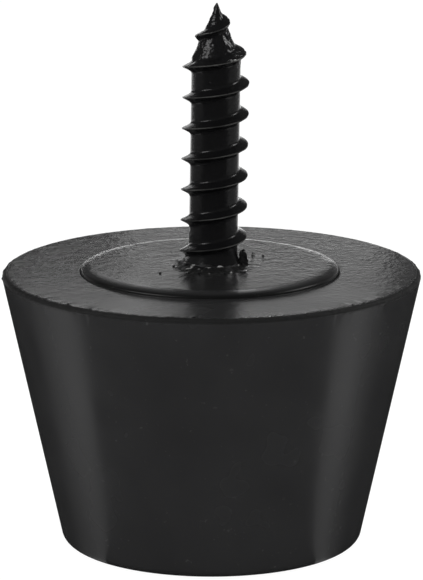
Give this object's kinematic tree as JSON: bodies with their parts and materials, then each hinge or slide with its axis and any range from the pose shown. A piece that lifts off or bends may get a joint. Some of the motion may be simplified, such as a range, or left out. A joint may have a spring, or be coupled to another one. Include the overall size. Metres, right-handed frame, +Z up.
{
  "type": "rubber foot",
  "caption": "Tapered black rubber foot with a raised seating pad and a wood screw moulded into it, point up.",
  "frame": {"origin": "centre of the flat underside that stands on the floor", "axes": "+Z up from the underside through the pad and along the screw to its point; +X is the side that the screw leans to; the foot is otherwise round about Z"},
  "size_m": [0.0378, 0.0378, 0.0494],
  "materials": {
    "black_rubber": "satin black moulded rubber with a fine grain",
    "black_steel": "black-finished steel, semi-gloss, with bright crests"
  },
  "bodies": {
    "root": {"rubber_foot": "black_rubber", "wood_screw": "black_steel"}
  },
  "joints": []
}
